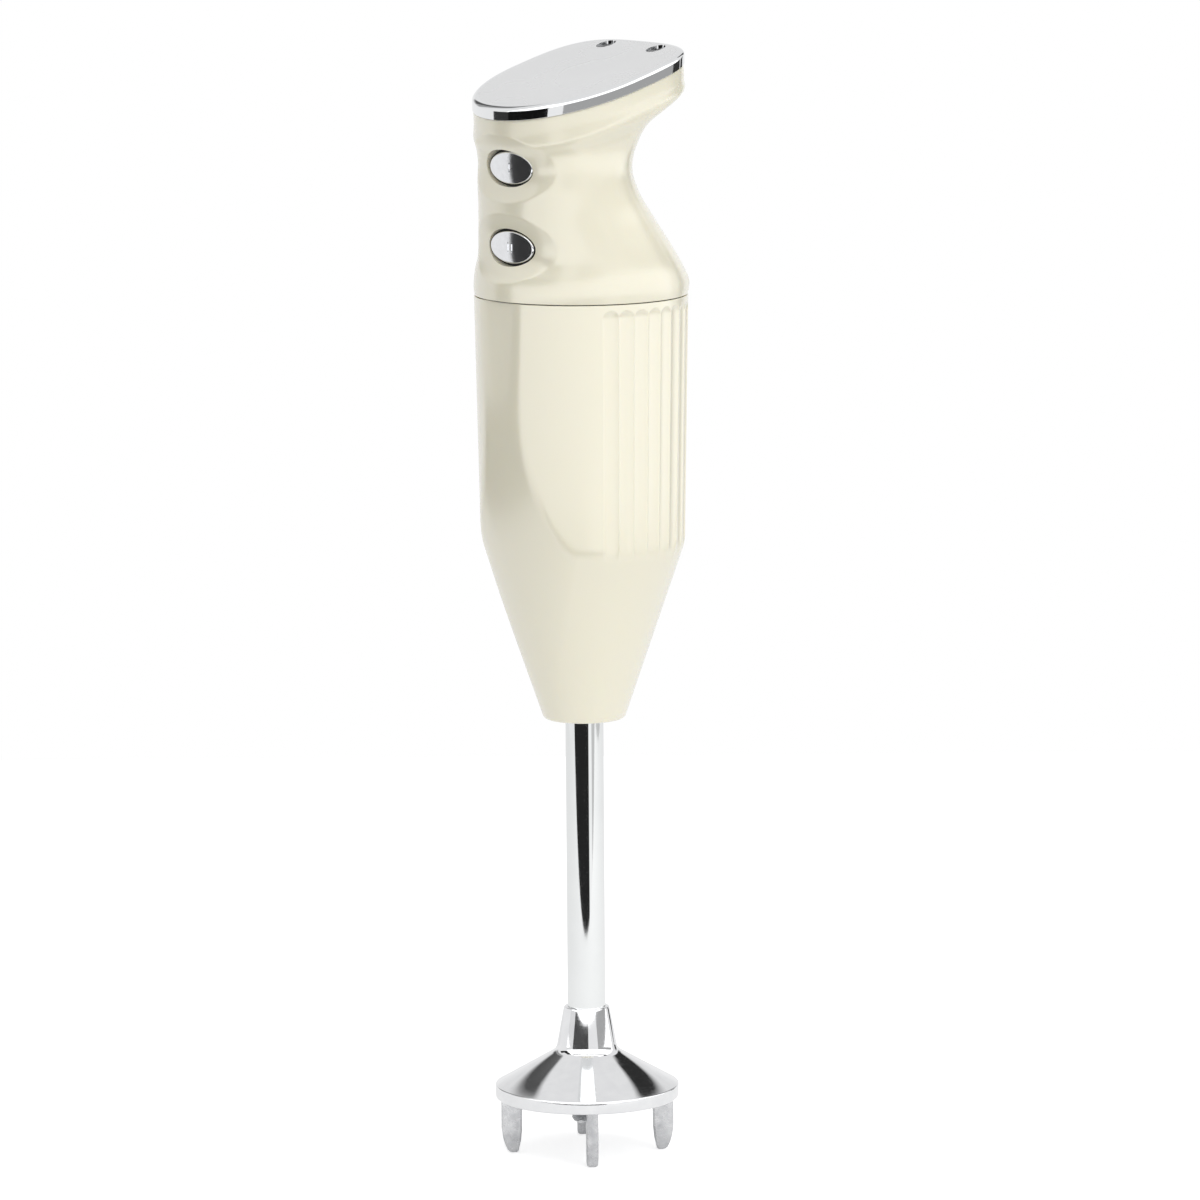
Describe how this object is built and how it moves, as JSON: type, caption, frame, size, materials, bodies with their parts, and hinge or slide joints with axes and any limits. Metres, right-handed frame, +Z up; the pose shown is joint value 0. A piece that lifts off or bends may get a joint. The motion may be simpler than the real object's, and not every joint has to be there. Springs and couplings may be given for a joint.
{
  "type": "immersion blender",
  "caption": "Cordless hand-held immersion blender: waisted grip with two oval push buttons, sloping top plate, polished shaft, belled guard on legs and a pull-off blade.",
  "frame": {"origin": "on the drive axis, in the plane of the guard's leg tips", "axes": "+Z up the shaft towards the top plate, -Y out of the buttons, +X to the right of someone looking at the buttons"},
  "size_m": [0.066, 0.066, 0.3418],
  "materials": {
    "cream_shell": "glossy moulded plastic",
    "plate_chrome": "polished",
    "button_chrome": "polished",
    "tube_chrome": "polished",
    "guard_metal": "satin cast and turned",
    "blade_steel": "ground",
    "inner_steel": "machined",
    "black_rubber": "matte",
    "black_plastic": "matte",
    "grey_plastic": "matte",
    "board_green": "lacquered board",
    "brass": "turned",
    "copper": "enamelled wire",
    "lead_blue": "wire sleeve",
    "lead_red": "wire sleeve",
    "cell_sleeve": "shrink sleeve"
  },
  "bodies": {
    "handle": {"motor_housing": "cream_shell", "head_housing": "cream_shell", "top_plate": "plate_chrome", "seam_gasket": "black_rubber", "upper_gasket": "black_rubber", "lower_gasket": "black_rubber", "upper_springs": "inner_steel", "lower_springs": "inner_steel", "control_board": "board_green", "button_switches": "black_plastic", "board_screws": "inner_steel", "contact_sleeves": "black_plastic", "charge_contacts": "brass", "charge_leads": "lead_red", "motor_leads": "lead_blue", "battery_cell_1": "cell_sleeve", "battery_cell_2": "cell_sleeve", "battery_cell_3": "cell_sleeve", "battery_holder": "grey_plastic", "cell_straps": "inner_steel", "motor_cradle": "grey_plastic", "motor_mount": "grey_plastic", "motor_screws": "inner_steel", "motor_can": "inner_steel", "motor_magnets": "black_plastic", "motor_end_cap": "black_plastic", "motor_brushes": "grey_plastic", "lower_bearing": "inner_steel", "upper_bearing": "inner_steel", "tube_nut": "brass", "upper_bush": "brass", "lower_bush": "brass", "shaft_seal": "black_rubber", "shaft_tube": "tube_chrome", "guard": "guard_metal"},
    "drive": {"armature_shaft": "inner_steel", "armature_core": "inner_steel", "armature_windings": "copper", "commutator": "copper", "coupling_upper": "inner_steel", "coupling_spider": "black_rubber", "coupling_lower": "inner_steel", "drive_shaft": "inner_steel", "drive_pin": "inner_steel", "shaft_clip": "inner_steel"},
    "blade_unit": {"blade_hub": "blade_steel", "blade": "blade_steel"},
    "upper_push": {"upper_button": "button_chrome"},
    "lower_push": {"lower_button": "button_chrome"}
  },
  "joints": [
    {"name": "drive_spin", "type": "hinge", "parent": "handle", "child": "drive", "pos_m": [0, 0, 0.09], "axis": [0, 0, 1], "continuous": true},
    {"name": "blade_pull", "type": "slide", "parent": "drive", "child": "blade_unit", "axis": [0, 0, -1], "range_m": [0, 0.01]},
    {"name": "upper_press", "type": "slide", "parent": "handle", "child": "upper_push", "axis": [0, 1, 0], "range_m": [0, 0.0012], "stiffness_N_per_m": 800, "springref_m": -0.001, "deforming": ["upper_springs"]},
    {"name": "lower_press", "type": "slide", "parent": "handle", "child": "lower_push", "axis": [0, 1, 0], "range_m": [0, 0.0012], "stiffness_N_per_m": 800, "springref_m": -0.001, "deforming": ["lower_springs"]}
  ]
}
